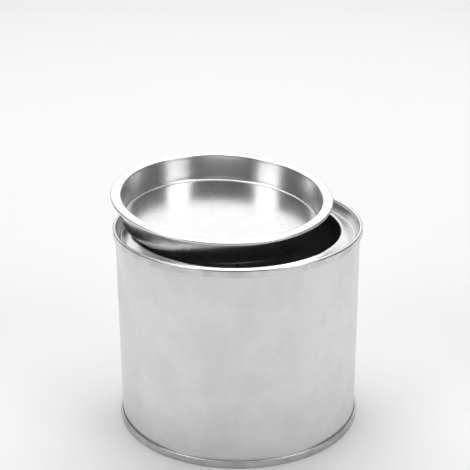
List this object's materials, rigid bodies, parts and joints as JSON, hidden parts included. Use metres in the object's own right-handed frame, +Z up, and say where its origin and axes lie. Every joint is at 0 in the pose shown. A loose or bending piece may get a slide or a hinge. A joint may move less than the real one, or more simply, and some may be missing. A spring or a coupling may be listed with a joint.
{
  "type": "paint can",
  "caption": "Round tinplate paint can with double seams, a ring mouth and a loose lever lid lying askew on top.",
  "frame": {"origin": "the can's axis at the plane the lower seam stands on; the loose lid widens the box by under 1 mm off this centre", "axes": "+Z up along the can's axis, +X to the right and -Y to the front; the side weld is at +Y"},
  "size_m": [0.1025, 0.1029, 0.099],
  "materials": {
    "tinplate_body": "dull bright tinplate with fine vertical grain",
    "tinplate_ring": "bright pressed tinplate",
    "tinplate_end": "dull bright tinplate",
    "tinplate_lid": "bright pressed tinplate",
    "seam_compound": "matt rubber sealing compound"
  },
  "bodies": {
    "can": {"body_sheet": "tinplate_body", "top_ring": "tinplate_ring", "bottom_end": "tinplate_end", "top_seam_compound": "seam_compound", "bottom_seam_compound": "seam_compound"},
    "lid": {"lid": "tinplate_lid"}
  },
  "joints": [
    {"name": "lid_lift", "type": "slide", "parent": "can", "child": "lid", "axis": [0, 0, 1], "range_m": [0, 0.1]}
  ]
}
